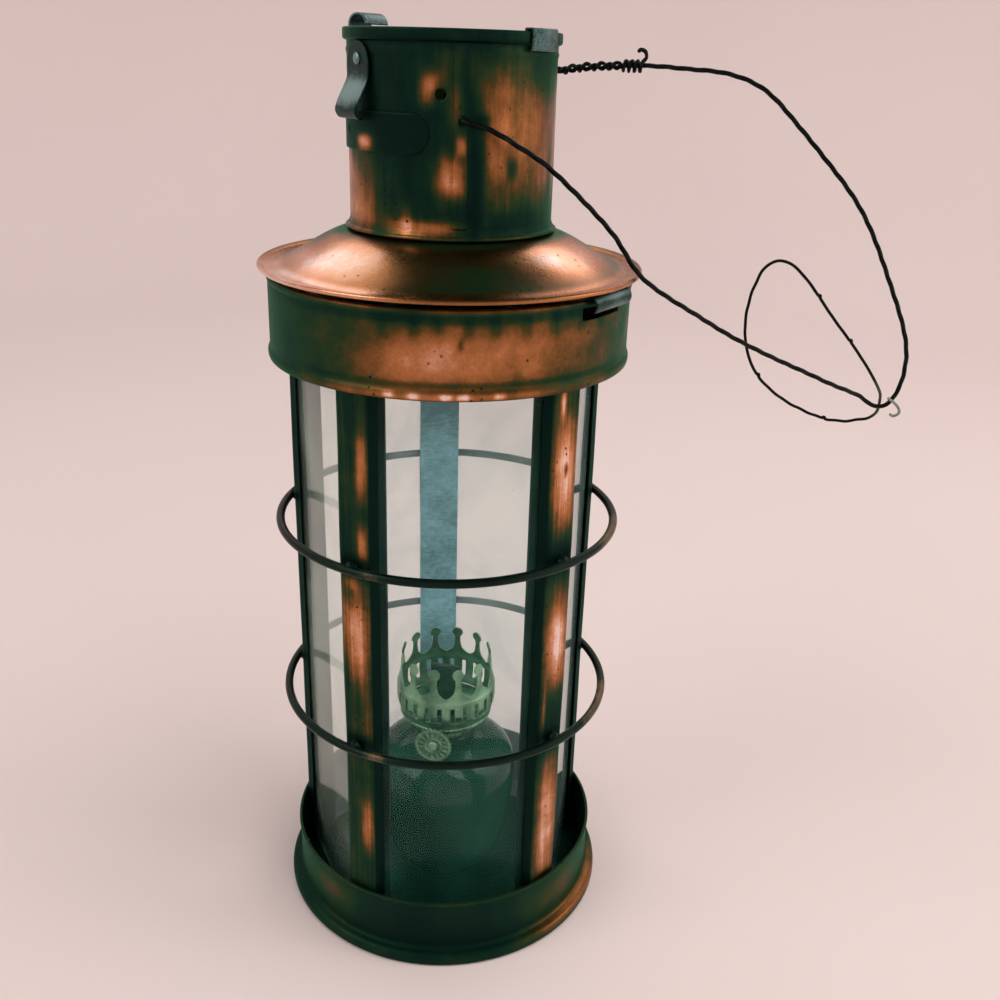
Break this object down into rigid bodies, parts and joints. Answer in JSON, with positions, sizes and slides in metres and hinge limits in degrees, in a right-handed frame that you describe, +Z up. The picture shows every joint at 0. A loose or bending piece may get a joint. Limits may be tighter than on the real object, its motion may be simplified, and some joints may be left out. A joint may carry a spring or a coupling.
{
  "type": "hanging lantern",
  "caption": "Hanging copper lantern: glazed five-sided cage in a round pan, guard rings, hinged hood with chimney, wire bail and loose oil lamp inside.",
  "frame": {"origin": "centre of the pan floor's underside, on the lantern's axis", "axes": "+Z up along the axis; -Y is the front, the side of the chimney's seam and of the wick winder; the bail rests towards +X"},
  "size_m": [0.2914, 0.1646, 0.4177],
  "materials": {
    "blackened_copper": "oxidised almost black, brown copper showing through where rubbed",
    "aged_copper": "copper with brown-green patina, bare orange patches and dark spots",
    "stile_copper": "brushed copper with dark green edges and solder stains",
    "bronze_wire": "dark bronze wire, brighter where handled",
    "dull_tin": "grey-green tinned strip, dull",
    "iron_wire": "black annealed iron wire",
    "pane_glass": "clear, thin dirt and specks",
    "font_glass": "dark green, glossy",
    "burner_brass": "grey-green tarnished brass",
    "wick_cotton": "woven cotton, charred at the top"
  },
  "bodies": {
    "body": {"pan_wall": "blackened_copper", "pan_floor": "blackened_copper", "top_plate": "blackened_copper", "top_band": "aged_copper", "guard_ring_lower": "bronze_wire", "guard_ring_upper": "bronze_wire", "stile_1": "stile_copper", "stile_2": "stile_copper", "stile_3": "stile_copper", "stile_4": "stile_copper", "stile_5": "stile_copper", "glazing_bar_1": "blackened_copper", "glazing_bar_2": "blackened_copper", "glazing_bar_3": "blackened_copper", "glazing_bar_4": "blackened_copper", "glazing_bar_5": "blackened_copper", "glass_pane_1": "pane_glass", "glass_pane_2": "pane_glass", "glass_pane_3": "pane_glass", "glass_pane_4": "pane_glass", "glass_pane_5": "pane_glass", "ring_lug_lower_1": "bronze_wire", "ring_lug_lower_2": "bronze_wire", "ring_lug_lower_3": "bronze_wire", "ring_lug_lower_4": "bronze_wire", "ring_lug_lower_5": "bronze_wire", "ring_lug_upper_1": "bronze_wire", "ring_lug_upper_2": "bronze_wire", "ring_lug_upper_3": "bronze_wire", "ring_lug_upper_4": "bronze_wire", "ring_lug_upper_5": "bronze_wire"},
    "hood": {"hood_dome": "aged_copper", "chimney_tube": "aged_copper", "chimney_seam": "aged_copper", "cap_clip": "dull_tin", "cap_knuckle": "dull_tin", "ear_strap": "dull_tin", "ear_rivet": "dull_tin", "side_plate": "dull_tin", "hinge_strap": "dull_tin", "catch_strap": "dull_tin"},
    "bail": {"bail_wire": "iron_wire", "bail_wrap": "iron_wire"},
    "loop": {"hang_loop": "iron_wire"},
    "lamp": {"font": "font_glass", "font_collar": "burner_brass", "burner_base": "burner_brass", "gallery_crown": "burner_brass", "wick_tube": "burner_brass"},
    "winder": {"winder_spindle": "burner_brass", "winder_knob": "burner_brass"},
    "wick": {"wick": "wick_cotton"}
  },
  "joints": [
    {"name": "hood_hinge", "type": "hinge", "parent": "body", "child": "hood", "pos_m": [-0.06704, 0.03871, 0.3151], "axis": [-0.5, -0.866, 0], "range_deg": [0, 100]},
    {"name": "bail_pivot", "type": "hinge", "parent": "hood", "child": "bail", "pos_m": [0, 0, 0.3801], "axis": [0.0872, -0.9962, 0], "range_deg": [0, 180]},
    {"name": "loop_swing", "type": "hinge", "parent": "bail", "child": "loop", "pos_m": [0.2, 0, 0.2575], "axis": [0, 1, 0], "range_deg": [0, 6]},
    {"name": "lamp_lift", "type": "slide", "parent": "body", "child": "lamp", "axis": [0, 0, 1], "range_m": [0, 0.12]},
    {"name": "winder_turn", "type": "hinge", "parent": "lamp", "child": "winder", "pos_m": [0, 0, 0.0896], "axis": [-0.2079, -0.9781, 0], "range_deg": [0, 172]},
    {"name": "wick_feed", "type": "slide", "parent": "lamp", "child": "wick", "axis": [0, 0, 1], "range_m": [0, 0.0125]}
  ],
  "couplings": [
    {"joint": "wick_feed", "follows": "winder_turn", "m_per_rad": 0.004}
  ]
}
